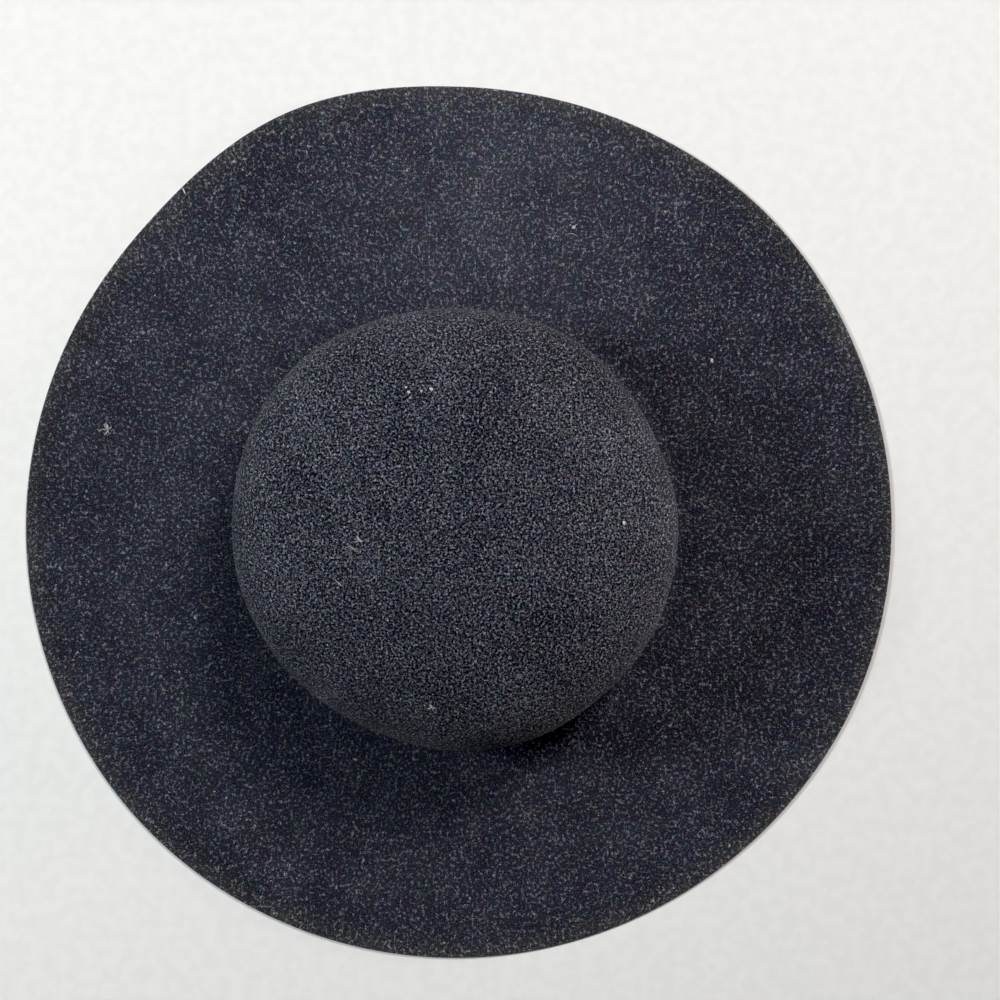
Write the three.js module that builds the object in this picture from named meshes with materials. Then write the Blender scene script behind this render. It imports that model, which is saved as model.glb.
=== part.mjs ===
// Wide-brim wool felt hat, blocked in one piece: a round undented crown and a broad brim
// that slopes gently down to a flat outer band, on which the hat lies.
// Millimetres, +Z up. The origin is under the middle of the hat, on the surface it lies on.

import * as THREE from 'three';
import { mergeVertices } from 'three/addons/utils/BufferGeometryUtils.js';

// Driving dimensions
const FELT_THICKNESS = 2.2;
const BRIM_RADIUS = 200;
const HEAD_CIRCUMFERENCE = 580;
const CROWN_DEPTH = 106;
const WALL_HEIGHT = 44;
const BREAK_RADIUS = 12;
const BRIM_RISE = 8;
const REST_BAND_WIDTH = 34;

// Fullness of the crown's shoulder: 2 is a plain dome, and a larger value is squarer
const CROWN_FULLNESS = 2.5;
// How much of the crown's uneven plan its head line keeps
const HEAD_LINE_UNEVENNESS = 0.4;

// Number of facets: round the hat, and along each stretch of its section
const FACETS_ROUND = 64;
const FACETS_DOME = 12;
const FACETS_WALL = 4;
const FACETS_BREAK = 4;
const FACETS_SLOPE = 7;
const FACETS_REST_BAND = 2;
const FACETS_EDGE = 4;

const FELT_COLOUR = 0x2b2e38;
const FELT_ROUGHNESS = 0.95;

// The uneven plan and rise of the felt, seen from above, in equal turns from +X towards +Y.
// brim and crown are shares of the brim's and the crown's radius, rise is a share of BRIM_RISE.
const PLAN = [
  { brim: 0.999, crown: 1.007, rise: 1.05 },
  { brim: 1.002, crown: 0.992, rise: 1.15 },
  { brim: 1.011, crown: 1.004, rise: 1.10 },
  { brim: 1.008, crown: 1.012, rise: 0.95 },
  { brim: 1.013, crown: 0.999, rise: 0.85 },
  { brim: 1.032, crown: 1.018, rise: 0.85 },
  { brim: 1.002, crown: 1.040, rise: 0.95 },
  { brim: 0.998, crown: 1.027, rise: 1.10 },
  { brim: 0.999, crown: 1.016, rise: 1.15 },
  { brim: 1.002, crown: 1.010, rise: 1.05 },
  { brim: 1.005, crown: 0.993, rise: 0.95 },
  { brim: 1.002, crown: 0.983, rise: 0.90 },
  { brim: 0.998, crown: 1.004, rise: 0.95 },
  { brim: 0.994, crown: 1.010, rise: 1.00 },
  { brim: 0.996, crown: 1.003, rise: 1.00 },
  { brim: 1.001, crown: 1.008, rise: 1.00 },
];

const headRadius = HEAD_CIRCUMFERENCE / (2 * Math.PI);
const breakEnd = headRadius + BREAK_RADIUS;
const headLine = BRIM_RISE + BREAK_RADIUS;
const restBandStart = BRIM_RADIUS - REST_BAND_WIDTH;
const edgeRadius = FELT_THICKNESS / 2;
const edgeStart = BRIM_RADIUS - edgeRadius;

// A share of one column of the plan, by a smooth closed curve through its rows
function planShare(column, turn) {
  const place = (turn / (2 * Math.PI)) * PLAN.length;
  const row = Math.floor(place);
  const part = place - row;
  const value = (step) => PLAN[(row + step + PLAN.length) % PLAN.length][column];
  const slopeHere = (value(1) - value(-1)) / 2;
  const slopeNext = (value(2) - value(0)) / 2;
  const bend = 3 * (value(1) - value(0)) - 2 * slopeHere - slopeNext;
  const twist = slopeHere + slopeNext - 2 * (value(1) - value(0));
  return value(0) + part * (slopeHere + part * (bend + part * twist));
}

// Steps from 0 to 1, without the first one
function steps(count) {
  return Array.from({ length: count }, (_, index) => (index + 1) / count);
}

// The felt's inner face in section, from the middle of the crown to the edge of the brim:
// x is the distance from the hat's axis and y the height
function innerFace() {
  const section = [new THREE.Vector2(0, CROWN_DEPTH)];
  const power = 2 / CROWN_FULLNESS;
  for (const share of steps(FACETS_DOME)) {
    const fall = share * (Math.PI / 2);
    const domeHeight = (CROWN_DEPTH - WALL_HEIGHT) * Math.max(Math.cos(fall), 0) ** power;
    section.push(new THREE.Vector2(headRadius * Math.sin(fall) ** power, WALL_HEIGHT + domeHeight));
  }
  for (const share of steps(FACETS_WALL)) {
    section.push(new THREE.Vector2(headRadius, THREE.MathUtils.lerp(WALL_HEIGHT, headLine, share)));
  }
  for (const share of steps(FACETS_BREAK)) {
    const bend = share * (Math.PI / 2);
    const out = breakEnd - BREAK_RADIUS * Math.cos(bend);
    section.push(new THREE.Vector2(out, headLine - BREAK_RADIUS * Math.sin(bend)));
  }
  for (const share of steps(FACETS_SLOPE)) {
    const out = THREE.MathUtils.lerp(breakEnd, restBandStart, share);
    section.push(new THREE.Vector2(out, BRIM_RISE * (1 - THREE.MathUtils.smoothstep(share, 0, 1))));
  }
  for (const share of steps(FACETS_REST_BAND)) {
    section.push(new THREE.Vector2(THREE.MathUtils.lerp(restBandStart, edgeStart, share), 0));
  }
  return section;
}

// The outer face lies one thickness of felt away from the inner one, square to it
function outerFace(inner) {
  return inner.map((point, index) => {
    const before = inner[Math.max(index - 1, 0)];
    const after = inner[Math.min(index + 1, inner.length - 1)];
    const along = new THREE.Vector2().subVectors(after, before).normalize();
    const outward = index === 0 ? new THREE.Vector2(0, 1) : new THREE.Vector2(-along.y, along.x);
    return outward.multiplyScalar(FELT_THICKNESS).add(point);
  });
}

// The cut edge of the brim, rounded from the inner face to the outer one
function cutEdge() {
  return steps(FACETS_EDGE).slice(0, -1).map((share) => {
    const bend = share * Math.PI;
    return new THREE.Vector2(edgeStart + edgeRadius * Math.sin(bend), edgeRadius * (1 - Math.cos(bend)));
  });
}

// Gives a round felt the uneven plan and rise of the real one. The crown's unevenness fades
// from its shoulder down to the head line, and the brim's from its edge in to the head line.
function shapeByHand(geometry) {
  const position = geometry.getAttribute('position');
  for (let index = 0; index < position.count; index += 1) {
    const x = position.getX(index);
    const y = position.getY(index);
    const z = position.getZ(index);
    const turn = Math.atan2(y, x);
    const out = Math.hypot(x, y);
    const up = THREE.MathUtils.smoothstep(z, headLine, WALL_HEIGHT);
    const across = THREE.MathUtils.smoothstep(out, headRadius, BRIM_RADIUS);
    const inward = 1 - THREE.MathUtils.smoothstep(out, breakEnd, restBandStart);
    const unevenness = THREE.MathUtils.lerp(HEAD_LINE_UNEVENNESS, 1, up);
    const crown = THREE.MathUtils.lerp(1, planShare('crown', turn), unevenness);
    const share = THREE.MathUtils.lerp(crown, planShare('brim', turn), across);
    const lift = BRIM_RISE * (planShare('rise', turn) - 1) * inward * (1 - up);
    position.setXYZ(index, x * share, y * share, z + lift);
  }
}

function hatBody() {
  const inner = innerFace();
  const section = [...inner, ...cutEdge(), ...outerFace(inner).reverse()];
  const geometry = new THREE.LatheGeometry(section, FACETS_ROUND);
  geometry.rotateX(Math.PI / 2);
  shapeByHand(geometry);
  geometry.computeBoundingBox();
  const middle = geometry.boundingBox.getCenter(new THREE.Vector3());
  geometry.translate(-middle.x, -middle.y, 0);
  geometry.deleteAttribute('normal');
  geometry.deleteAttribute('uv');
  const closed = mergeVertices(geometry);
  closed.computeVertexNormals();
  const felt = new THREE.MeshStandardMaterial({ color: FELT_COLOUR, roughness: FELT_ROUGHNESS, metalness: 0 });
  const mesh = new THREE.Mesh(closed, felt);
  mesh.name = 'hat_body';
  return mesh;
}

const hat = new THREE.Group();
hat.name = 'wide_brim_hat';
hat.add(hatBody());

export default hat;
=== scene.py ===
"""The looks of a wide-brim hat blocked from one piece of heather wool felt.

The hat lies on its brim on a pale floor and is seen from straight above its crown. All lengths
are in metres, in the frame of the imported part: +Z up, the floor at zero height.
"""

import logging
import math
from dataclasses import dataclass
from enum import Enum

import bpy
import numpy as np
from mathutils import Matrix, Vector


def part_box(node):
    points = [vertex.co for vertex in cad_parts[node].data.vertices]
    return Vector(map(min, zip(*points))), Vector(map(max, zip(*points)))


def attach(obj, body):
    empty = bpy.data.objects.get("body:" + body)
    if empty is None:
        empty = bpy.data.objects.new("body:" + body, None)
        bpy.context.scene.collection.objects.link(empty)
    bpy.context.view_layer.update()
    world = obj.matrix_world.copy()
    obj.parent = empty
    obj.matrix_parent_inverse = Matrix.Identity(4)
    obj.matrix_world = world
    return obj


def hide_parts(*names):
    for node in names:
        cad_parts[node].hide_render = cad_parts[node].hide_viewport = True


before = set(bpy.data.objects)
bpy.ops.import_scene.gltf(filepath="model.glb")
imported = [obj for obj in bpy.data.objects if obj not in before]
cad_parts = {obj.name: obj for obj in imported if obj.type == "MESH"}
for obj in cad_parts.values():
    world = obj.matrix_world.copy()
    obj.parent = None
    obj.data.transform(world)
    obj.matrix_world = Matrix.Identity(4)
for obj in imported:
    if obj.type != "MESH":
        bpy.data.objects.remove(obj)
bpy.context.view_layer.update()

LOG = logging.getLogger("hat")
HAT_NODE = "hat_body"
# Number of places at which the brim's outline is measured
OUTLINE_STEPS = 721

# The display's own curve from tones to light
TONE_OFFSET = 0.055
TONE_POWER = 2.4
DARKEST_TONE = 0.005

# The uneven plan and rise of the felt, seen from above, in equal turns from +X towards +Y.
# brim and crown are shares of the brim's and the crown's radius, rise is a share of the
# brim's rise
PLAN = np.array(
    [
        (0.999, 1.007, 1.05),
        (1.002, 0.992, 1.15),
        (1.011, 1.004, 1.10),
        (1.008, 1.012, 0.95),
        (1.013, 0.999, 0.85),
        (1.032, 1.018, 0.85),
        (1.002, 1.040, 0.95),
        (0.998, 1.027, 1.10),
        (0.999, 1.016, 1.15),
        (1.002, 1.010, 1.05),
        (1.005, 0.993, 0.95),
        (1.002, 0.983, 0.90),
        (0.998, 1.004, 0.95),
        (0.994, 1.010, 1.00),
        (0.996, 1.003, 1.00),
        (1.001, 1.008, 1.00),
    ],
    dtype=[("brim", float), ("crown", float), ("rise", float)],
)

# Three waves of the soft swells: the direction in x, y and z, the rate and the start of each
SWELLS = np.array(
    [
        (0.9, 0.5, 0.3, 1.0, 0.6),
        (-0.6, 0.8, -0.7, 1.3, 2.1),
        (0.2, -1.1, 0.9, 0.7, 4.0),
    ],
    dtype=[("x", float), ("y", float), ("z", float), ("rate", float), ("start", float)],
)


class Face(Enum):
    """The two faces of the felt."""

    OUTER = "outer"
    INNER = "inner"


def smooth_step(value: np.ndarray, low: float, high: float) -> np.ndarray:
    """Rise smoothly from 0 to 1 between two limits.

    Formula: with t the value's share of the way from low to high, kept between 0 and 1, the
    result is t squared times 3 minus 2 t.

    Args:
        value: Where to evaluate the step.
        low: Limit below which the step is 0.
        high: Limit above which the step is 1.

    Returns:
        The step at each value.
    """
    share = np.clip((value - low) / (high - low), 0.0, 1.0)
    return share * share * (3.0 - 2.0 * share)


def blend(start: np.ndarray, end: np.ndarray, share: np.ndarray) -> np.ndarray:
    """Go from start to end by a share of the way, in a straight line."""
    return start + (end - start) * share


def plan_share(column: str, turn: np.ndarray) -> np.ndarray:
    """Read one column of the plan at any turn.

    Formula: between two rows runs a cubic through both, and its slope at a row is half the
    step from the row before it to the row after it.

    Args:
        column: Name of the plan's column.
        turn: Angle from +X towards +Y, in radians.

    Returns:
        The share at each turn.
    """
    rows = PLAN[column]
    place = turn / (2.0 * math.pi) * len(rows)
    row = np.floor(place).astype(int)
    part = place - row
    before, here, after, beyond = (rows[(row + step) % len(rows)] for step in (-1, 0, 1, 2))
    slope_here = (after - before) / 2.0
    slope_next = (beyond - here) / 2.0
    bend = 3.0 * (after - here) - 2.0 * slope_here - slope_next
    twist = slope_here + slope_next - 2.0 * (after - here)
    return here + part * (slope_here + part * (bend + part * twist))


def unit(vectors: np.ndarray) -> np.ndarray:
    """Scale each vector along the last axis to length 1."""
    length = np.linalg.norm(vectors, axis=-1, keepdims=True)
    return vectors / np.maximum(length, 1e-12)


@dataclass(frozen=True)
class HatSizes:
    """Driving sizes of the hat, in metres."""

    brim_radius: float
    crown_depth: float
    thickness: float = 0.0022
    head_circumference: float = 0.580
    wall_height: float = 0.044
    break_radius: float = 0.012
    brim_rise: float = 0.008
    rest_band_width: float = 0.034
    crown_fullness: float = 2.5
    head_line_unevenness: float = 0.4

    @classmethod
    def from_frame(cls) -> "HatSizes":
        """Take the brim's radius and the crown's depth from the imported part's box.

        Returns:
            The sizes of the hat that fills the box.
        """
        low, high = (np.array(corner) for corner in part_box(HAT_NODE))
        turn = np.linspace(0.0, 2.0 * math.pi, OUTLINE_STEPS)
        reach = plan_share("brim", turn) * np.cos(turn)
        return cls(
            brim_radius=float((high[0] - low[0]) / np.ptp(reach)),
            crown_depth=float(high[2] - low[2]) - cls.thickness,
        )

    @property
    def head_radius(self) -> float:
        """Radius of the felt's inner face at the head line."""
        return self.head_circumference / (2.0 * math.pi)

    @property
    def head_line(self) -> float:
        """Height at which the crown's wall ends and the break begins."""
        return self.brim_rise + self.break_radius

    @property
    def break_end(self) -> float:
        """Radius at which the break ends and the brim begins."""
        return self.head_radius + self.break_radius

    @property
    def rest_band_start(self) -> float:
        """Radius from which the brim lies flat."""
        return self.brim_radius - self.rest_band_width

    @property
    def edge_radius(self) -> float:
        """Radius of the rounded cut edge."""
        return self.thickness / 2.0

    @property
    def edge_start(self) -> float:
        """Radius at which the cut edge begins to round over."""
        return self.brim_radius - self.edge_radius


@dataclass(frozen=True)
class FeltGrid:
    """One face of the felt as rows of points from the crown out, closed round the hat.

    Each row has its spread too, which is its distance from the crown's middle in the felt's
    pattern, and its share of the crown and of the brim's edge.
    """

    points: np.ndarray
    normals: np.ndarray
    spread: np.ndarray
    crown: np.ndarray
    edge: np.ndarray

    def lay(self, path: np.ndarray, lift: np.ndarray) -> tuple[np.ndarray, np.ndarray]:
        """Lay a path that is known from above onto the felt.

        Formula: each point goes straight up to the plane that touches the felt at the vertex
        nearest to it from above, and then off the felt by its lift.

        Args:
            path: Rows of x and y.
            lift: One height off the felt for each row.

        Returns:
            The path's points and the felt's outward directions there.
        """
        vertices = self.points.reshape(-1, 3)
        away = np.linalg.norm(path[:, None] - vertices[None, :, :2], axis=-1)
        nearest = away.argmin(axis=1)
        normal = self.normals.reshape(-1, 3)[nearest]
        step = path - vertices[nearest, :2]
        height = vertices[nearest, 2] - (normal[:, :2] * step).sum(axis=1) / normal[:, 2]
        return np.column_stack((path, height)) + normal * lift[:, None], normal


@dataclass(frozen=True)
class FeltHat:
    """The one-piece felt hat: crown, break and brim."""

    sizes: HatSizes
    turns: int = 360
    dome_rows: int = 54
    wall_rows: int = 14
    break_rows: int = 12
    slope_rows: int = 40
    band_rows: int = 16
    edge_rows: int = 8
    # Softly uneven felt: height of the swells and length from one to the next
    swell: float = 0.00035
    swell_length: float = 0.052
    # Width of the felt along the brim's edge that looks unlike the rest
    edge_band: float = 0.012
    # How far the pattern follows the felt down the dome and down the wall: 0 as seen from
    # above, 1 unrolled
    dome_unrolling: float = 0.28
    wall_unrolling: float = 0.60

    def round_turns(self) -> np.ndarray:
        """Angles of the grid's columns round the hat, as one row."""
        return np.linspace(0.0, 2.0 * math.pi, self.turns, endpoint=False)[None, :]

    def edge_bend(self) -> np.ndarray:
        """Angles of the cut edge's rows, from the outer face to the inner one."""
        return np.linspace(0.0, math.pi, self.edge_rows + 2)[1:-1]

    def inner_section(self) -> np.ndarray:
        """Work out the felt's inner face in section, from the crown's middle to the brim's edge.

        Formula: the dome is a superellipse whose distance from the axis is the head radius
        times the sine of a quarter turn's share to the power 2 over the fullness, and whose
        height goes by the cosine in the same way. The wall is straight, the break a quarter
        circle, the slope a smooth step down, and the outer band lies at zero height.

        Returns:
            Rows of distance from the hat's axis and height.
        """
        s = self.sizes
        power = 2.0 / s.crown_fullness
        fall = np.linspace(0.0, math.pi / 2.0, self.dome_rows)
        rise = np.clip(np.cos(fall), 0.0, 1.0) ** power
        dome = np.column_stack(
            (s.head_radius * np.sin(fall) ** power, blend(s.wall_height, s.crown_depth, rise))
        )
        share = np.linspace(0.0, 1.0, self.wall_rows)[1:]
        wall = np.column_stack(
            (np.full_like(share, s.head_radius), blend(s.wall_height, s.head_line, share))
        )
        bend = np.linspace(0.0, math.pi / 2.0, self.break_rows)[1:]
        turn_out = np.column_stack(
            (
                s.break_end - s.break_radius * np.cos(bend),
                s.head_line - s.break_radius * np.sin(bend),
            )
        )
        share = np.linspace(0.0, 1.0, self.slope_rows)[1:]
        slope = np.column_stack(
            (
                blend(s.break_end, s.rest_band_start, share),
                s.brim_rise * (1.0 - smooth_step(share, 0.0, 1.0)),
            )
        )
        share = np.linspace(0.0, 1.0, self.band_rows)[1:]
        band = np.column_stack(
            (blend(s.rest_band_start, s.edge_start, share), np.zeros_like(share))
        )
        return np.vstack((dome, wall, turn_out, slope, band))

    @staticmethod
    def section_normals(section: np.ndarray) -> np.ndarray:
        """Find the direction square to the section at each row, towards the outer face.

        Formula: the step from the row before to the row after, turned a quarter turn.

        Args:
            section: Rows of distance and height.

        Returns:
            One unit vector for each row.
        """
        ends = np.vstack((section[:1], section, section[-1:]))
        along = unit(ends[2:] - ends[:-2])
        normals = np.column_stack((-along[:, 1], along[:, 0]))
        normals[0] = (0.0, 1.0)
        return normals

    def swells(self, out: np.ndarray, height: np.ndarray, turn: np.ndarray) -> np.ndarray:
        """Work out how far the soft felt stands off its even form.

        Formula: the mean of sine waves through space, each with its own direction, length and
        start, times the swell's height, and nothing on the flat outer band.

        Args:
            out: Distance from the hat's axis.
            height: Height above the floor.
            turn: Angle round the hat.

        Returns:
            Offset along the felt's normal.
        """
        s = self.sizes
        x = out * np.cos(turn)
        y = out * np.sin(turn)
        wave_number = 2.0 * math.pi / self.swell_length
        waves = np.zeros_like(x)
        for row in SWELLS:
            along = row["x"] * x + row["y"] * y + row["z"] * height
            waves = waves + np.sin(wave_number * along * row["rate"] + row["start"])
        flat = smooth_step(out, s.rest_band_start - s.break_radius, s.rest_band_start)
        return self.swell * waves / len(SWELLS) * (1.0 - flat)

    def shape_by_hand(self, out: np.ndarray, height: np.ndarray, turn: np.ndarray) -> np.ndarray:
        """Give a round felt the uneven plan and rise of the real one.

        Formula: the distance from the axis is multiplied by a share of the plan. It is the
        crown's at the shoulder, nears 1 down to the head line, and turns into the brim's
        towards the edge. The height grows by the plan's rise between the break and the band.

        Args:
            out: Distance from the axis of the round felt.
            height: Height of the round felt.
            turn: Angle round the hat.

        Returns:
            Points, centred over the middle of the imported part's box.
        """
        s = self.sizes
        up = smooth_step(height, s.head_line, s.wall_height)
        across = smooth_step(out, s.head_radius, s.brim_radius)
        inward = 1.0 - smooth_step(out, s.break_end, s.rest_band_start)
        unevenness = blend(s.head_line_unevenness, 1.0, up)
        crown = blend(1.0, plan_share("crown", turn), unevenness)
        share = blend(crown, plan_share("brim", turn), across)
        lift = s.brim_rise * (plan_share("rise", turn) - 1.0) * inward * (1.0 - up)
        middle_x, middle_y = self.middle()
        return np.stack(
            (
                out * share * np.cos(turn) - middle_x,
                out * share * np.sin(turn) - middle_y,
                height + lift,
            ),
            axis=-1,
        )

    def middle(self) -> tuple[float, float]:
        """Find the middle of the brim's outline, which stands over the frame's origin.

        Returns:
            The middle of the outline's extent along X and along Y.
        """
        turn = np.linspace(0.0, 2.0 * math.pi, OUTLINE_STEPS)
        radius = self.sizes.brim_radius * plan_share("brim", turn)
        x = radius * np.cos(turn)
        y = radius * np.sin(turn)
        return float(x.max() + x.min()) / 2.0, float(y.max() + y.min()) / 2.0

    def grid(self, face: Face) -> FeltGrid:
        """Work out one face of the felt as a surface of two parameters.

        Formula: the first parameter runs along the section and the second round the hat. Each
        point stands off the inner section by its swell, and on the outer face by the felt's
        thickness too, and is then shaped by hand. The spread of a row is the sum of the steps
        to it, each between its reach seen from above and its length by the felt's unrolling.

        Args:
            face: The outer or the inner face.

        Returns:
            The face's points, outward directions, spread and masks.
        """
        s = self.sizes
        section = self.inner_section()
        normals = self.section_normals(section)
        turn = self.round_turns()
        offset = self.swells(section[:, :1], section[:, 1:], turn)
        if face is Face.OUTER:
            offset = offset + s.thickness
        out = section[:, :1] + normals[:, :1] * offset
        height = section[:, 1:] + normals[:, 1:] * offset
        points = self.shape_by_hand(out, height, turn)
        round_step = np.roll(points, -1, axis=1) - np.roll(points, 1, axis=1)
        normal = unit(np.cross(np.gradient(points, axis=0), round_step))
        normal[0] = (0.0, 0.0, 1.0)
        if face is Face.INNER:
            normal = -normal
        step = np.diff(section, axis=0)
        below = 1.0 - smooth_step(section[1:, 1], s.head_line, s.wall_height)
        unrolling = blend(self.dome_unrolling, self.wall_unrolling, below)
        step = blend(step[:, 0], np.linalg.norm(step, axis=1), unrolling)
        spread = np.concatenate(([0.0], np.cumsum(step)))
        crown = smooth_step(section[:, 1], s.head_line, s.head_line + s.break_radius)
        edge = smooth_step(section[:, 0], s.edge_start - self.edge_band, s.edge_start)
        return FeltGrid(points, normal, spread, crown, edge)

    def cut_edge(self) -> np.ndarray:
        """Work out the rounded cut edge between the outer face and the inner one.

        Formula: in section it is a half circle whose diameter is the felt's thickness.

        Returns:
            Rows of points from the outer face down, without the two faces' own rows.
        """
        s = self.sizes
        turn, bend = np.broadcast_arrays(self.round_turns(), self.edge_bend()[:, None])
        out = s.edge_start + s.edge_radius * np.sin(bend)
        height = s.edge_radius * (1.0 + np.cos(bend))
        return self.shape_by_hand(out, height, turn)

    def skin_values(self, outer: np.ndarray, rim: np.ndarray, inner: np.ndarray) -> np.ndarray:
        """Give every vertex of the felt's skin the value of its row.

        Args:
            outer: One value for each row of the outer face.
            rim: One value for each row of the cut edge.
            inner: One value for each row of the inner face.

        Returns:
            One value for each vertex, from the outer face's middle to the inner one's.
        """
        rows = np.repeat(skin_rows(outer, rim, inner), self.turns)
        return np.concatenate((outer[:1], rows, inner[:1]))

    def build(self) -> bpy.types.Object:
        """The mesh carries what its material reads: the masks crown, edge and cut, and each
        vertex's place in the felt's pattern, which lies flat round the crown's middle.

        Returns:
            The hat's object.
        """
        outer = self.grid(Face.OUTER)
        inner = self.grid(Face.INNER)
        rim = self.cut_edge()
        rings = skin_rows(outer.points, rim, inner.points)
        top, bottom = (face.points[0].mean(axis=0) for face in (outer, inner))
        points = np.vstack((top, rings.reshape(-1, 3), bottom))
        piece = make_piece("felt_hat", points, ring_faces(*rings.shape[:2], first=0))
        bend = self.edge_bend()
        flat = np.zeros(len(outer.points))
        put_values(piece, "crown", self.skin_values(outer.crown, 0.0 * bend, inner.crown))
        put_values(piece, "edge", self.skin_values(outer.edge, 0.0 * bend + 1.0, inner.edge))
        put_values(piece, "cut", self.skin_values(flat, np.sin(bend), flat))
        past_edge = outer.spread[-1] + self.sizes.edge_radius * bend
        spread = self.skin_values(outer.spread, past_edge, inner.spread)
        turn = np.concatenate(([0.0], np.tile(self.round_turns()[0], len(rings)), [0.0]))
        round_hat = np.column_stack((np.cos(turn), np.sin(turn), np.zeros_like(turn)))
        put_values(piece, "felt_place", spread[:, None] * round_hat)
        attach(piece, "root")
        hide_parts(HAT_NODE)
        return piece


def skin_rows(outer: np.ndarray, rim: np.ndarray, inner: np.ndarray) -> np.ndarray:
    """Put the rows of the felt's skin in order, without the first row of each face.

    Args:
        outer: Rows of the outer face, from the crown's middle out.
        rim: Rows of the cut edge.
        inner: Rows of the inner face, from the crown's middle out.

    Returns:
        All rows down the outer face, round the cut edge and back up the inner face.
    """
    return np.concatenate((outer[1:], rim, inner[:0:-1]))


def ring_faces(count: int, sides: int, first: int) -> list[list[int]]:
    """Number the faces of a closed skin of rings with a point at each end.

    Args:
        count: Number of rings.
        sides: Number of points round a ring.
        first: Number of the skin's first point. The rings and the last point follow it.

    Returns:
        Vertex numbers of each face.
    """
    index = first + 1 + np.arange(count * sides).reshape(count, sides)
    beside = np.roll(index, -1, axis=1)
    quads = np.stack((index[:-1], index[1:], beside[1:], beside[:-1]), axis=-1).reshape(-1, 4)
    last = first + 1 + count * sides
    cap = np.column_stack((np.full(sides, first), index[0], beside[0]))
    foot = np.column_stack((np.full(sides, last), beside[-1], index[-1]))
    return [*cap.tolist(), *quads.tolist(), *foot.tolist()]


def make_piece(name: str, points: np.ndarray, faces: list[list[int]]) -> bpy.types.Object:
    """Put points and faces into a new smooth mesh object at the origin.

    Args:
        name: Name of the new object.
        points: One row of coordinates for each vertex.
        faces: Vertex numbers of each face.

    Returns:
        The new object, linked to the scene.
    """
    mesh = bpy.data.meshes.new(name)
    mesh.from_pydata(points.tolist(), [], faces)
    mesh.polygons.foreach_set("use_smooth", np.ones(len(mesh.polygons), dtype=bool))
    mesh.update()
    piece = bpy.data.objects.new(name, mesh)
    bpy.context.scene.collection.objects.link(piece)
    LOG.info("%s: %d vertices, %d faces", name, len(points), len(faces))
    return piece


def put_values(piece: bpy.types.Object, name: str, values: np.ndarray) -> None:
    """Store a number or a vector for each vertex under a name that materials read.

    Args:
        piece: The mesh object.
        name: Name of the attribute.
        values: One number, or one row of three numbers, for each vertex.
    """
    kind, field = ("FLOAT", "value") if values.ndim == 1 else ("FLOAT_VECTOR", "vector")
    attribute = piece.data.attributes.new(name, kind, "POINT")
    attribute.data.foreach_set(field, values.astype(np.float32).ravel())


@dataclass(frozen=True)
class Hair:
    """One loose hair: where it starts, passes and ends, seen from above, and its radius."""

    start: tuple[float, float]
    middle: tuple[float, float]
    end: tuple[float, float]
    radius: float = 0.00016


@dataclass(frozen=True)
class Tuft:
    """One speck of fluff: its place seen from above, its reach and its number of strands."""

    at: tuple[float, float]
    reach: float
    strands: int
    radius: float = 0.00014


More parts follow.
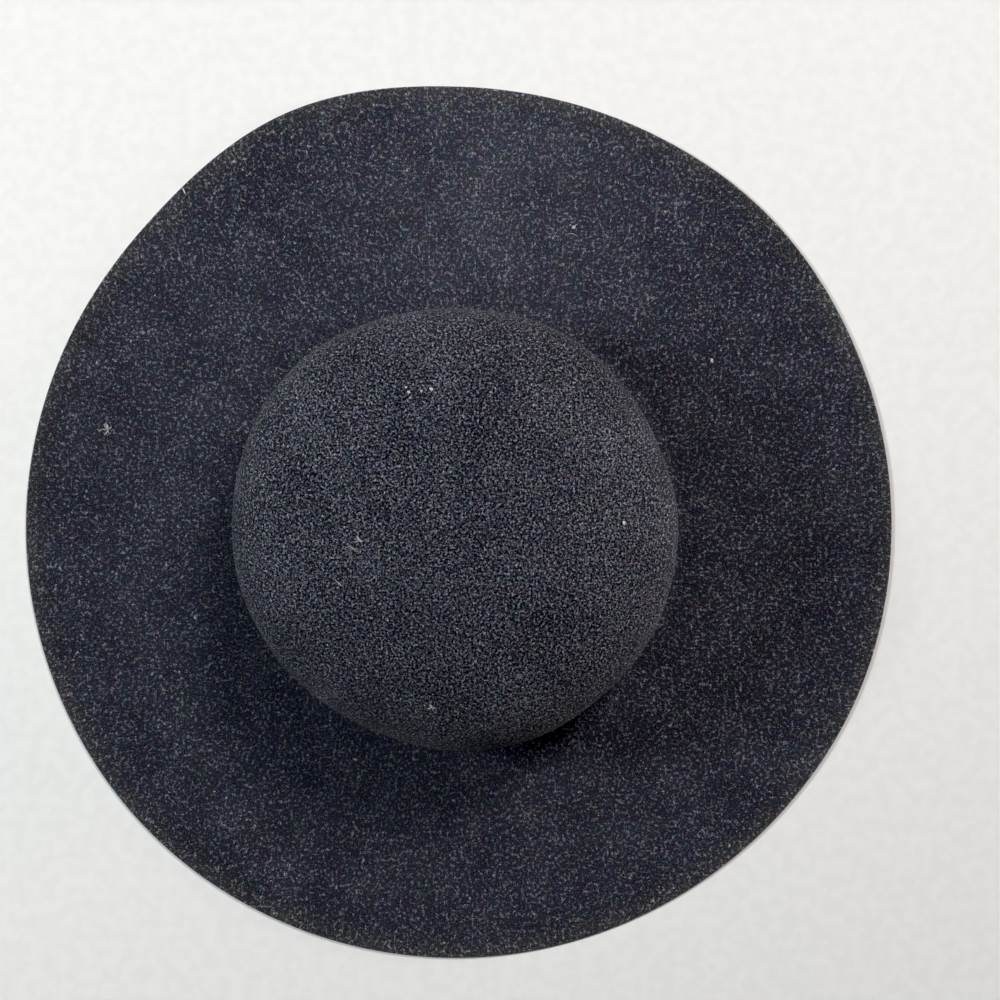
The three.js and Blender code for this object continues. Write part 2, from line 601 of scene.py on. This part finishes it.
@dataclass(frozen=True)
class StrayLint:
    """Pale hairs and specks of fluff that cling to the outside of the hat."""

    hairs: tuple[Hair, ...] = (
        Hair((-0.0430, -0.0083), (-0.0403, -0.0069), (-0.0375, -0.0095)),
        Hair((-0.0469, -0.0198), (-0.0448, -0.0215), (-0.0429, -0.0231)),
        Hair((-0.1272, 0.1541), (-0.1264, 0.1526), (-0.1258, 0.1509), radius=0.00032),
        Hair((0.0486, 0.1317), (0.0517, 0.1327), (0.0549, 0.1311), radius=0.00012),
    )
    tufts: tuple[Tuft, ...] = (
        Tuft((-0.1618, 0.0431), reach=0.0030, strands=7, radius=0.00020),
        Tuft((-0.0087, -0.0718), reach=0.0024, strands=5),
        Tuft((-0.0176, 0.0539), reach=0.0008, strands=8, radius=0.00032),
        Tuft((-0.0087, 0.0550), reach=0.0008, strands=9, radius=0.00034),
        Tuft((-0.0126, 0.0544), reach=0.0006, strands=6, radius=0.00020),
        Tuft((-0.0188, 0.0560), reach=0.0006, strands=6, radius=0.00020),
        Tuft((-0.0370, -0.0042), reach=0.0018, strands=6),
        Tuft((-0.1205, -0.0430), reach=0.0011, strands=7),
        Tuft((0.0680, 0.0021), reach=0.0009, strands=8, radius=0.00022),
        Tuft((0.0526, 0.1358), reach=0.0011, strands=8, radius=0.00022),
        Tuft((0.1158, 0.0745), reach=0.0011, strands=8, radius=0.00024),
    )
    # How far chance shifts a strand's turn, turns it aside, and how short or long it makes it
    turn_shift: float = 0.3
    aside: float = 1.1
    lengths: tuple[float, float] = (0.6, 1.1)
    # Height off the felt at a strand's tips, and what it gains in the middle, in radii
    bed: float = 0.6
    arch: float = 1.6
    shades: tuple[float, float] = (0.35, 1.0)
    steps: int = 9
    sides: int = 5
    seed: int = 7

    def hair_path(self, hair: Hair) -> np.ndarray:
        """Work out the path of one hair, seen from above.

        Formula: the curve of second degree through the hair's three places.

        Args:
            hair: The hair.

        Returns:
            Rows of x and y.
        """
        share = np.linspace(0.0, 1.0, self.steps)[:, None]
        start, middle, end = (np.array(place) for place in (hair.start, hair.middle, hair.end))
        near = (1.0 - share) * (1.0 - 2.0 * share) * start
        far = share * (2.0 * share - 1.0) * end
        return near + 4.0 * share * (1.0 - share) * middle + far

    def tuft_paths(self, tuft: Tuft, rng: np.random.Generator) -> np.ndarray:
        """Work out the paths of a tuft's strands, seen from above.

        Formula: the strands leave the tuft's middle in even turns that chance shifts a little,
        and each turns aside by an angle that grows along it.

        Args:
            tuft: The tuft.
            rng: Seeded source of random numbers.

        Returns:
            Rows of x and y for each strand.
        """
        share = np.linspace(0.0, 1.0, self.steps)[None, :]
        shift = rng.uniform(-self.turn_shift, self.turn_shift, tuft.strands)
        turn = (np.arange(tuft.strands) + shift) / tuft.strands
        aside = rng.uniform(-self.aside, self.aside, (tuft.strands, 1))
        angle = 2.0 * math.pi * turn[:, None] + aside * share
        out = tuft.reach * rng.uniform(*self.lengths, (tuft.strands, 1)) * share
        x, y = tuft.at
        return np.stack((x + out * np.cos(angle), y + out * np.sin(angle)), axis=-1)

    def strand(self, grid: FeltGrid, path: np.ndarray, radius: float) -> np.ndarray:
        """Work out one strand as a tube along a path on the felt.

        Formula: the path lies on the felt and rises off it a little in its middle. Round it
        stand rings whose radius goes by the root of the sine of the way along.

        Args:
            grid: The felt's outer face.
            path: Rows of x and y.
            radius: The strand's radius.

        Returns:
            The strand's first tip, the rings' points and the last tip, in a row.
        """
        share = np.linspace(0.0, 1.0, self.steps)
        lift = radius * (self.bed + self.arch * np.sin(math.pi * share))
        points, normal = grid.lay(path, lift)
        along = unit(np.gradient(points, axis=0))
        side = unit(np.cross(normal, along))[1:-1, None]
        up = np.cross(along[1:-1, None], side)
        angle = np.linspace(0.0, 2.0 * math.pi, self.sides, endpoint=False)[None, :, None]
        width = radius * np.sqrt(np.sin(math.pi * share[1:-1]))[:, None, None]
        rings = points[1:-1, None] + width * (np.cos(angle) * side - np.sin(angle) * up)
        return np.vstack((points[:1], rings.reshape(-1, 3), points[-1:]))

    def build(self, hat: FeltHat) -> bpy.types.Object:
        """Make all hairs and tufts as one piece.

        Args:
            hat: The hat that they cling to.

        Returns:
            The lint's object.
        """
        rng = np.random.default_rng(self.seed)
        grid = hat.grid(Face.OUTER)
        paths = [(self.hair_path(hair), hair.radius) for hair in self.hairs]
        for tuft in self.tufts:
            paths += [(path, tuft.radius) for path in self.tuft_paths(tuft, rng)]
        strands = np.stack([self.strand(grid, path, radius) for path, radius in paths])
        count, size = strands.shape[:2]
        faces = []
        for first in range(0, count * size, size):
            faces += ring_faces(self.steps - 2, self.sides, first)
        piece = make_piece("stray_lint", strands.reshape(-1, 3), faces)
        put_values(piece, "shade", np.repeat(rng.uniform(*self.shades, count), size))
        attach(piece, "root")
        return piece


class NodeBoard:
    """Adds nodes to one node tree and links them as they come."""

    def __init__(self, tree: bpy.types.NodeTree) -> None:
        """Keep the tree that the nodes go into.

        Args:
            tree: Node tree of a material or of a group.
        """
        self.tree = tree

    def add(self, kind: str, inputs: dict | None = None, **settings: object) -> bpy.types.Node:
        """Add one node.

        Args:
            kind: Blender's name for the node's type.
            inputs: A value or an output socket for each input, by its name or place.
            **settings: Values of the node's own settings.

        Returns:
            The new node.
        """
        node = self.tree.nodes.new(kind)
        for name, value in settings.items():
            setattr(node, name, value)
        for name, value in (inputs or {}).items():
            if isinstance(value, bpy.types.NodeSocket):
                self.tree.links.new(value, node.inputs[name])
            else:
                node.inputs[name].default_value = value
        return node

    def stored(self, name: str, output: str) -> bpy.types.NodeSocket:
        """Read the mesh's attribute of a name, by its output Fac or Vector."""
        return self.add("ShaderNodeAttribute", attribute_name=name).outputs[output]

    def math(self, operation: str, first: object, second: object = 0.0) -> bpy.types.NodeSocket:
        """Add a Math node and return its result."""
        return self.add("ShaderNodeMath", {0: first, 1: second}, operation=operation).outputs[0]

    def span(
        self, value: object, low: float, high: float, start: float = 0.0, end: float = 1.0
    ) -> bpy.types.NodeSocket:
        """Map a value smoothly from one span to another.

        Args:
            value: The socket to map.
            low: Value that gives start.
            high: Value that gives end.
            start: Result at and below low.
            end: Result at and above high.

        Returns:
            The mapped value's socket.
        """
        ends = {"Value": value, "From Min": low, "From Max": high, "To Min": start, "To Max": end}
        node = self.add("ShaderNodeMapRange", ends, interpolation_type="SMOOTHSTEP")
        return node.outputs["Result"]

    def brim_to_crown(self, brim: float, crown: float) -> bpy.types.NodeSocket:
        """Go smoothly from the brim's value to the crown's and return the result."""
        return self.span(self.stored("crown", "Fac"), 0.0, 1.0, brim, crown)

    def noise(self, vector: object, scale: object, detail: float = 0.0) -> bpy.types.NodeSocket:
        """Add a flat noise and return its value, about 0.5 in the mean.

        Args:
            vector: Coordinates of the noise.
            scale: Noise cells for each unit of length.
            detail: Number of finer layers.

        Returns:
            The noise's value.
        """
        inputs = {"Vector": vector, "Scale": scale, "Detail": detail}
        return self.add("ShaderNodeTexNoise", inputs, noise_dimensions="2D").outputs["Fac"]

    def mix_colour(self, share: object, first: object, second: object) -> bpy.types.NodeSocket:
        """Mix two colours by a share of the second.

        Args:
            share: 0 for the first colour and 1 for the second.
            first: First colour.
            second: Second colour.

        Returns:
            The mixed colour's socket.
        """
        # Sockets 6 and 7 are the colours' own inputs and socket 2 is their output
        node = self.add("ShaderNodeMix", {0: share, 6: first, 7: second}, data_type="RGBA")
        return node.outputs[2]

    def total(self, *values: object) -> bpy.types.NodeSocket:
        """Add up two or more sockets or numbers in their order and return the sum."""
        result = values[0]
        for value in values[1:]:
            result = self.math("ADD", result, value)
        return result

    def vector(self, operation: str, first: object, second: object) -> bpy.types.NodeSocket:
        """Add a Vector Math node and return its vector."""
        inputs = {0: first, 1: second}
        return self.add("ShaderNodeVectorMath", inputs, operation=operation).outputs[0]

    def scale(self, vector: object, factor: object) -> bpy.types.NodeSocket:
        """Multiply a vector by a number and return the result."""
        inputs = {0: vector, "Scale": factor}
        return self.add("ShaderNodeVectorMath", inputs, operation="SCALE").outputs[0]

    def centred_noise(self, vector: object, scale: object, detail: float) -> bpy.types.NodeSocket:
        """Add a flat noise of three values and return them less their mean of 0.5.

        Args:
            vector: Coordinates of the noise.
            scale: Noise cells for each unit of length.
            detail: Number of finer layers.

        Returns:
            The three values as a vector.
        """
        inputs = {"Vector": vector, "Scale": scale, "Detail": detail}
        noise = self.add("ShaderNodeTexNoise", inputs, noise_dimensions="2D")
        return self.vector("ADD", noise.outputs["Color"], (-0.5, -0.5, -0.5))


class MaterialBoard(NodeBoard):
    """A board on the node tree of a new material."""

    def __init__(self, name: str) -> None:
        """Make the material, still without nodes.

        Args:
            name: The material's name.
        """
        self.material = bpy.data.materials.new(name)
        self.material.use_nodes = True
        self.material.node_tree.nodes.clear()
        super().__init__(self.material.node_tree)

    def finish(self, inputs: dict) -> bpy.types.Material:
        """Add the Principled shader with these inputs and return the material."""
        shader = self.add("ShaderNodeBsdfPrincipled", inputs)
        self.add("ShaderNodeOutputMaterial", {"Surface": shader.outputs["BSDF"]})
        return self.material


# How far fibres bend, in cells of the web, and the scale of the noise that breaks them
FIBRE_CURL = 2.2
BREAK_SCALE = 0.8
# Puts the breaking noise at another place than the bending one
BREAK_SHIFT = (3.1, 1.7, 5.3)
# Sum of the breaking noise and Cover at which a fibre begins to show and shows in full
FIBRE_BEGINS = 0.88
FIBRE_FULL = 1.20
# Usual spread of a noise's value about its mean
GRAIN_SPREAD = 0.12


def new_group(name: str, inputs: dict[str, str], outputs: dict[str, str]) -> bpy.types.NodeTree:
    """Start a shader node group with named sockets.

    Args:
        name: The group's name.
        inputs: Socket type of each input, by name.
        outputs: Socket type of each output, by name.

    Returns:
        The new group.
    """
    group = bpy.data.node_groups.new(name, "ShaderNodeTree")
    for socket, kind in inputs.items():
        group.interface.new_socket(socket, in_out="INPUT", socket_type=kind)
    for socket, kind in outputs.items():
        group.interface.new_socket(socket, in_out="OUTPUT", socket_type=kind)
    return group


def fibre_web_group() -> bpy.types.NodeTree:
    """Build the group that draws a web of short, thin, curved fibres.

    Formula: fibres run along the borders of random cells whose coordinates a noise bends, and
    fade out over Width to both sides. A second noise breaks the long lines: the more it and
    Cover come to, the more a fibre shows.

    Returns:
        The node group, with the fibres' mask as its output.
    """
    number = "NodeSocketFloat"
    inputs = {"Vector": "NodeSocketVector", "Scale": number, "Width": number, "Cover": number}
    inputs["Seed"] = number
    group = new_group("fibre_web", inputs, {"Mask": number})
    board = NodeBoard(group)
    given = board.add("NodeGroupInput").outputs
    shift = board.add("ShaderNodeCombineXYZ", {0: given["Seed"], 1: given["Seed"]}).outputs[0]
    place = board.vector("ADD", given["Vector"], shift)
    curl = board.centred_noise(place, given["Scale"], detail=0.0)
    bent = board.scale(curl, board.math("DIVIDE", FIBRE_CURL, given["Scale"]))
    path = board.vector("ADD", place, bent)
    away = board.add(
        "ShaderNodeTexVoronoi",
        {"Vector": path, "Scale": given["Scale"]},
        feature="DISTANCE_TO_EDGE",
        voronoi_dimensions="2D",
    ).outputs["Distance"]
    line = board.math("SUBTRACT", 1.0, board.math("DIVIDE", away, given["Width"]))
    line = board.math("MAXIMUM", line, 0.0)
    coarse = board.math("MULTIPLY", given["Scale"], BREAK_SCALE)
    elsewhere = board.vector("ADD", place, BREAK_SHIFT)
    breaks = board.math("ADD", board.noise(elsewhere, coarse), given["Cover"])
    shown = board.span(breaks, FIBRE_BEGINS, FIBRE_FULL)
    mask = board.math("MULTIPLY", line, shown)
    board.add("NodeGroupOutput", {"Mask": mask})
    return group


def wool_grain_group() -> bpy.types.NodeTree:
    """Build the group that draws the soft light and dark grain of felted wool.

    Formula: a noise of two layers, less its mean of 0.5, over its usual spread.

    Returns:
        The node group, with the grain about 0 as its output.
    """
    number = "NodeSocketFloat"
    inputs = {"Vector": "NodeSocketVector", "Scale": number}
    group = new_group("wool_grain", inputs, {"Grain": number})
    board = NodeBoard(group)
    given = board.add("NodeGroupInput").outputs
    value = board.noise(given["Vector"], given["Scale"], detail=1.0)
    grain = board.math("DIVIDE", board.math("SUBTRACT", value, 0.5), GRAIN_SPREAD)
    board.add("NodeGroupOutput", {"Grain": grain})
    return group


def grain_at(
    board: NodeBoard, grain: bpy.types.NodeTree, place: object, scale: float
) -> bpy.types.NodeSocket:
    """Put the grain group on a board.

    Args:
        board: The board that the node goes on.
        grain: The group that draws soft grain.
        place: Coordinates of the grain.
        scale: Grains for each unit of length.

    Returns:
        The grain's socket.
    """
    inputs = {"Vector": place, "Scale": scale}
    return board.add("ShaderNodeGroup", inputs, node_tree=grain).outputs["Grain"]


@dataclass(frozen=True)
class FibreLayer:
    """One web of pale fibres in the felt."""

    scale: float
    width: float
    crown_cover: float
    brim_cover: float
    seed: float
    strength: float


@dataclass(frozen=True)
class PaintedLightPatch:
    """A softly bounded patch of painted light on the hat, which lifts the felt's tone as if more
    light fell there.
    """

    at: tuple[float, float, float]
    reach: float
    lift: float


@dataclass(frozen=True)
class HeatherFelt:
    """Matt heather felt: dark navy wool with pale fibres worked through it.

    Tones are display tones from 0 to 1, and become light through the display's own curve.
    """

    # What red, green and blue stand off the tone by, on the felt, along its edge and by patches
    hue: tuple[float, float, float] = (-0.027, 0.001, 0.041)
    edge_hue: tuple[float, float, float] = (0.004, 0.0, 0.014)
    hue_patches: float = 0.045
    hue_scale: float = 150.0
    crown_tone: float = 0.092
    brim_tone: float = 0.154
    crown_grain: float = 0.112
    brim_grain: float = 0.060
    grain_scale: float = 1500.0
    # Broad soft patches: noise cells in a metre, and their lift of the tone and of the cover
    patch_scale: float = 38.0
    patch: float = 0.006
    patch_cover: float = 0.010
    # Small patches with more or fewer fibres: noise cells in a metre, and lift of the cover
    clump_scale: float = 170.0
    crown_clumps: float = 0.014
    brim_clumps: float = 0.030
    edge_tone: float = 0.045
    cut_tone: float = 0.10
    # Patches of painted light: they lift the tone of the brim towards +Y and of the crown's side
    # towards +X as if these were lit more brightly
    painted_light_patches: tuple[PaintedLightPatch, ...] = (
        PaintedLightPatch((0.020, 0.165, 0.004), reach=0.125, lift=0.052),
        PaintedLightPatch((-0.125, 0.100, 0.004), reach=0.090, lift=0.014),
        PaintedLightPatch((0.080, 0.010, 0.075), reach=0.070, lift=0.040),
    )
    roughness: float = 0.92
    specular: float = 0.02
    sheen: float = 0.05
    sheen_roughness: float = 0.45
    relief: float = 0.00035
    grain_relief: float = 0.08
    layers: tuple[FibreLayer, ...] = (
        FibreLayer(660.0, 0.13, crown_cover=0.0, brim_cover=0.37, seed=0.0, strength=0.64),
        FibreLayer(920.0, 0.15, crown_cover=0.45, brim_cover=0.36, seed=1.3, strength=0.62),
        FibreLayer(1250.0, 0.21, crown_cover=0.46, brim_cover=0.0, seed=2.9, strength=0.62),
    )

    def build(self, web: bpy.types.NodeTree, grain: bpy.types.NodeTree) -> bpy.types.Material:
        """Make the felt's material.

        Args:
            web: The group that draws fibres.
            grain: The group that draws soft grain.

        Returns:
            The new material.
        """
        board = MaterialBoard("heather_felt")
        place = board.stored("felt_place", "Vector")
        patches = grain_at(board, grain, place, self.patch_scale)
        clumps = grain_at(board, grain, place, self.clump_scale)
        fibres = self.fibres(board, web, place, patches, clumps)
        soft = grain_at(board, grain, place, self.grain_scale)
        tone = self.tone(board, patches, soft, fibres)
        edge = board.stored("edge", "Fac")
        hue = board.mix_colour(edge, (*self.hue, 1.0), (*self.edge_hue, 1.0))
        hues = board.centred_noise(place, self.hue_scale, detail=1.0)
        tones = board.vector("ADD", hue, board.scale(hues, self.hue_patches))
        tones = board.vector("ADD", tones, tone)
        height = board.math("ADD", fibres, board.math("MULTIPLY", soft, self.grain_relief))
        bump = board.add(
            "ShaderNodeBump", {"Strength": 1.0, "Distance": self.relief, "Height": height}
        )
        return board.finish(
            {
                "Base Color": display_to_light(board, tones),
                "Roughness": self.roughness,
                "Specular IOR Level": self.specular,
                "Sheen Weight": self.sheen,
                "Sheen Roughness": self.sheen_roughness,
                "Normal": bump.outputs["Normal"],
            }
        )

    def fibres(
        self,
        board: NodeBoard,
        web: bpy.types.NodeTree,
        place: bpy.types.NodeSocket,
        patches: bpy.types.NodeSocket,
        clumps: bpy.types.NodeSocket,
    ) -> bpy.types.NodeSocket:
        """Work out how far the pale fibres lift the felt's tone.

        Formula: the largest of the layers' masks times their strengths. The patches and clumps
        shift each layer's cover.

        Args:
            board: The board that the nodes go on.
            web: The group that draws fibres.
            place: Places in the felt's pattern.
            patches: Grain of the broad patches.
            clumps: Grain of the small patches.

        Returns:
            The lift's socket.
        """
        swing = board.brim_to_crown(self.brim_clumps, self.crown_clumps)
        broad = board.math("MULTIPLY", patches, self.patch_cover)
        shift = board.math("ADD", board.math("MULTIPLY", clumps, swing), broad)
        fibres = 0.0
        for layer in self.layers:
            cover = board.brim_to_crown(layer.brim_cover, layer.crown_cover)
            inputs = {
                "Vector": place,
                "Scale": layer.scale,
                "Width": layer.width,
                "Cover": board.math("ADD", cover, shift),
                "Seed": layer.seed,
            }
            mask = board.add("ShaderNodeGroup", inputs, node_tree=web).outputs["Mask"]
            fibres = board.math("MAXIMUM", fibres, board.math("MULTIPLY", mask, layer.strength))
        return fibres

    def tone(
        self,
        board: NodeBoard,
        patches: bpy.types.NodeSocket,
        soft: bpy.types.NodeSocket,
        fibres: bpy.types.NodeSocket,
    ) -> bpy.types.NodeSocket:
        """Work out the felt's display tone.

        Formula: the wool's own tone plus the lifts of the soft grain, the broad patches, the
        edge, the cut, the patches of painted light and the fibres.

        Args:
            board: The board that the nodes go on.
            patches: Grain of the broad patches.
            soft: The soft grain.
            fibres: The fibres' lift.

        Returns:
            The tone's socket.
        """
        position = board.add("ShaderNodeTexCoord").outputs["Object"]
        edge = board.math("POWER", board.stored("edge", "Fac"), 2.0)
        depth = board.brim_to_crown(self.brim_grain, self.crown_grain)
        return board.total(
            board.brim_to_crown(self.brim_tone, self.crown_tone),
            board.math("MULTIPLY", soft, depth),
            board.math("MULTIPLY", patches, self.patch),
            board.math("MULTIPLY", edge, self.edge_tone),
            board.math("MULTIPLY", board.stored("cut", "Fac"), self.cut_tone),
            # Painted light on the brim and the crown's side
            *(self.painted_light_lift(board, position, pale) for pale in self.painted_light_patches),
            fibres,
        )

    @staticmethod
    def painted_light_lift(
        board: NodeBoard, position: bpy.types.NodeSocket, pale: PaintedLightPatch
    ) -> bpy.types.NodeSocket:
        """Work out how much one patch of painted light lifts the felt's tone.

        Formula: the patch's lift at its middle, falling smoothly to nothing at its reach.

        Args:
            board: The board that the nodes go on.
            position: Object coordinates.
            pale: The patch of painted light.

        Returns:
            The lift's socket.
        """
        away = board.add(
            "ShaderNodeVectorMath", {0: position, 1: pale.at}, operation="DISTANCE"
        ).outputs["Value"]
        return board.span(away, 0.0, pale.reach, pale.lift, 0.0)


def display_to_light(board: NodeBoard, tones: bpy.types.NodeSocket) -> bpy.types.NodeSocket:
    """Turn display tones into the light that a surface sends back.

    Formula: the tone plus 0.055, over 1.055, to the power 2.4. No tone goes under the darkest.

    Args:
        board: The board that the nodes go on.
        tones: Red, green and blue display tones from 0 to 1.

    Returns:
        The colour's socket.
    """
    lifted = board.vector("ADD", tones, (TONE_OFFSET,) * 3)
    kept = board.vector("MAXIMUM", lifted, (TONE_OFFSET + DARKEST_TONE,) * 3)
    share = board.scale(kept, 1.0 / (1.0 + TONE_OFFSET))
    return board.add("ShaderNodeGamma", {"Color": share, "Gamma": TONE_POWER}).outputs["Color"]


@dataclass(frozen=True)
class PaleWool:
    """Undyed wool of the stray lint, from grey to nearly white."""

    grey: tuple[float, float, float, float] = (0.22, 0.22, 0.24, 1.0)
    pale: tuple[float, float, float, float] = (0.80, 0.80, 0.78, 1.0)
    mottle: float = 0.12
    mottle_scale: float = 900.0
    roughness: float = 0.8

    def build(self, grain: bpy.types.NodeTree) -> bpy.types.Material:
        """Make the strands' material, which reads each strand's own shade.

        Args:
            grain: The group that draws soft grain.

        Returns:
            The new material.
        """
        board = MaterialBoard("pale_wool")
        place = board.add("ShaderNodeTexCoord").outputs["Object"]
        spots = grain_at(board, grain, place, self.mottle_scale)
        spots = board.math("MULTIPLY", spots, self.mottle)
        shade = board.math("ADD", board.stored("shade", "Fac"), spots)
        colour = board.mix_colour(shade, self.grey, self.pale)
        return board.finish({"Base Color": colour, "Roughness": self.roughness})


@dataclass(frozen=True)
class PaleFloor:
    """The plain pale floor that the hat lies on."""

    side: float = 6.0
    pale: tuple[float, float, float, float] = (0.93, 0.89, 0.86, 1.0)
    darker: float = 0.96
    grain_scale: float = 160.0
    grain_span: tuple[float, float] = (0.3, 0.7)
    roughness: float = 0.9

    def build(self) -> bpy.types.Object:
        """Make the floor and give it its material.

        Returns:
            The floor's object.
        """
        half = self.side / 2.0
        corners = half * np.array([(-1, -1, 0), (1, -1, 0), (1, 1, 0), (-1, 1, 0)])
        floor = make_piece("pale_floor", corners, [[0, 1, 2, 3]])
        board = MaterialBoard("pale_floor")
        place = board.add("ShaderNodeTexCoord").outputs["Object"]
        grain = board.noise(place, self.grain_scale, detail=3.0)
        grain = board.span(grain, *self.grain_span)
        darker = tuple(self.darker * value for value in self.pale[:3]) + (1.0,)
        colour = board.mix_colour(grain, darker, self.pale)
        finish = board.finish({"Base Color": colour, "Roughness": self.roughness})
        floor.data.materials.append(finish)
        return floor


@dataclass(frozen=True)
class SoftLight:
    """One square soft light of the studio, aimed at the hat."""

    name: str
    at: tuple[float, float, float]
    side: float
    watts: float
    colour: tuple[float, float, float]

    def build(self) -> bpy.types.Object:
        """Hang the light and turn it towards the middle of the hat.

        Returns:
            The light's object.
        """
        data = bpy.data.lights.new(self.name, "AREA")
        data.shape = "SQUARE"
        data.size = self.side
        data.energy = self.watts
        data.color = self.colour
        light = bpy.data.objects.new(self.name, data)
        light.location = self.at
        x, y, z = self.at
        light.rotation_euler = (math.atan2(math.hypot(x, y), z), 0.0, math.atan2(x, -y))
        bpy.context.scene.collection.objects.link(light)
        return light


@dataclass(frozen=True)
class Studio:
    """Plain soft light from above and to the sides."""

    lights: tuple[SoftLight, ...] = (
        SoftLight("left_light", (-1.23, 0.21, 1.15), 0.42, 19.4, (0.87, 0.97, 1.0)),
        SoftLight("upper_right_light", (0.57, 0.85, 1.36), 0.36, 16.8, (0.98, 0.97, 0.97)),
        SoftLight("right_light", (1.66, 0.29, 0.26), 0.4, 9.3, (1.0, 0.92, 0.88)),
    )
    ambient: tuple[float, float, float, float] = (0.95, 0.97, 1.0, 1.0)
    ambient_strength: float = 0.015
    black_point: float = 0.005

    def build(self) -> None:
        """Hang the lights, light the world and choose plain colour management."""
        for light in self.lights:
            light.build()
        world = bpy.data.worlds.new("studio")
        world.use_nodes = True
        background = world.node_tree.nodes["Background"]
        background.inputs["Color"].default_value = self.ambient
        background.inputs["Strength"].default_value = self.ambient_strength
        scene = bpy.context.scene
        scene.world = world
        scene.view_settings.view_transform = "Standard"
        scene.view_settings.use_curve_mapping = True
        scene.view_settings.curve_mapping.black_level = (self.black_point,) * 3
        scene.view_settings.curve_mapping.update()


@dataclass(frozen=True)
class PhotoCamera:
    """The camera above the crown, looking straight down with the photograph's framing."""

    eye: tuple[float, float, float] = (0.0165, 0.0162, 0.700)
    lens: float = 54.5
    sensor: float = 36.0
    nearest: float = 0.01
    tilt: tuple[float, float] = (-0.46, -0.19)

    def build(self) -> bpy.types.Object:
        """Make the camera and choose it for the scene.

        Returns:
            The camera's object.
        """
        data = bpy.data.cameras.new("photo_camera")
        data.lens = self.lens
        data.sensor_width = self.sensor
        data.clip_start = self.nearest
        camera = bpy.data.objects.new("photo_camera", data)
        camera.location = self.eye
        camera.rotation_euler = (*(math.radians(angle) for angle in self.tilt), 0.0)
        bpy.context.scene.collection.objects.link(camera)
        bpy.context.scene.camera = camera
        return camera


def main() -> None:
    """Build the hat, the lint on it and the studio, and report each piece."""
    logging.basicConfig(level=logging.INFO, format="%(name)s: %(message)s")
    PhotoCamera().build()
    hat = FeltHat(HatSizes.from_frame())
    felt = hat.build()
    grain = wool_grain_group()
    felt.data.materials.append(HeatherFelt().build(fibre_web_group(), grain))
    StrayLint().build(hat).data.materials.append(PaleWool().build(grain))
    PaleFloor().build()
    Studio().build()


if __name__ == "__main__":
    main()
